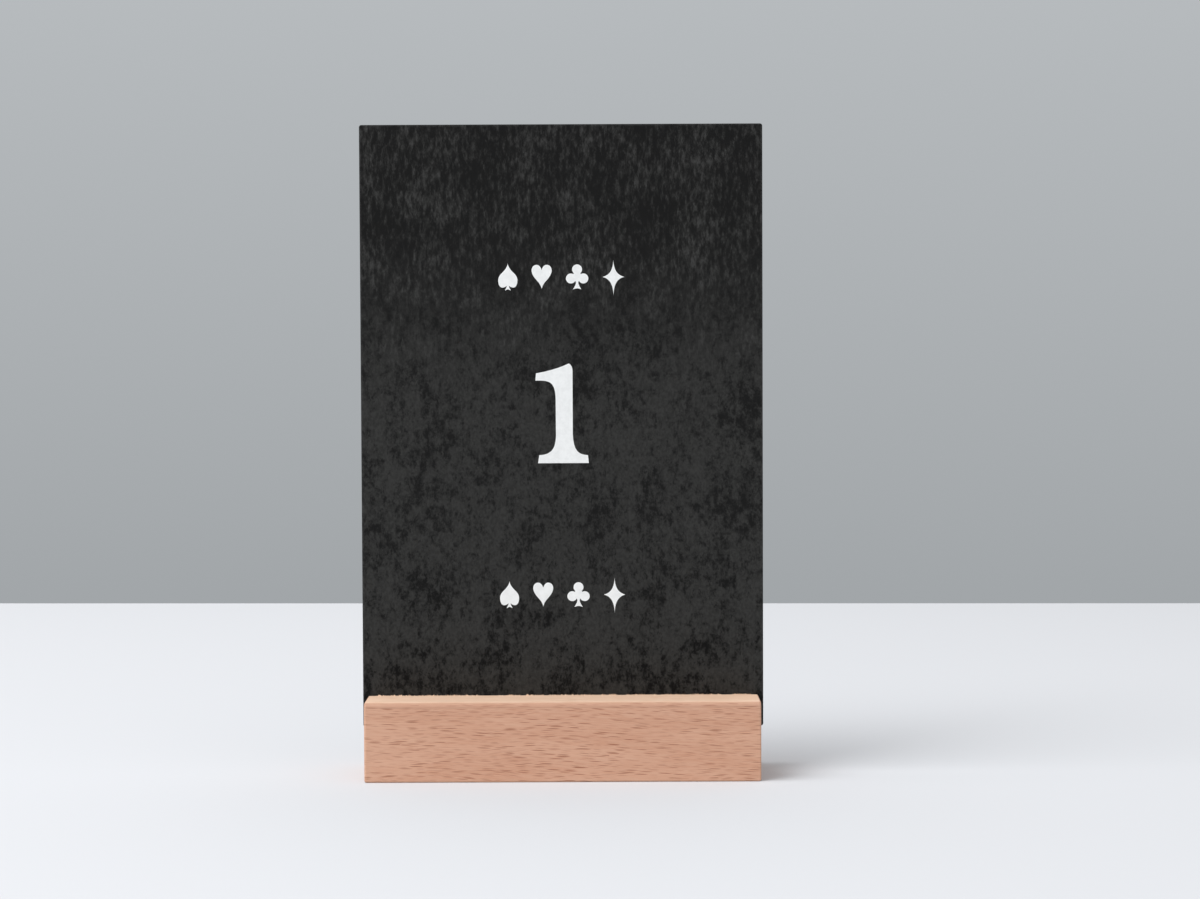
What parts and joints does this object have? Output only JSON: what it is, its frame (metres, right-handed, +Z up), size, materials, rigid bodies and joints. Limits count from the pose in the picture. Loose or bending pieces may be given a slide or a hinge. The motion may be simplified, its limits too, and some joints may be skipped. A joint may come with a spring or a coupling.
{
  "type": "table number stand",
  "caption": "Stiff upright black card in a slotted beech block, a free-standing table number for dining and game tables; the card lifts out of its slot.",
  "frame": {"origin": "centre of the block's underside, on the table", "axes": "+Z up; the slot runs along X; the printed side of the card faces -Y"},
  "size_m": [0.1016, 0.03, 0.1644],
  "materials": {
    "beech": "sanded, clear matt oil",
    "black_board": "matt black with a fine mottled grain",
    "white_print": "flat opaque white ink"
  },
  "bodies": {
    "stand": {"base_block": "beech"},
    "card": {"number_card": "black_board"}
  },
  "joints": [
    {"name": "card_lift", "type": "slide", "parent": "stand", "child": "card", "axis": [0, 0, 1], "range_m": [0, 0.03]}
  ]
}
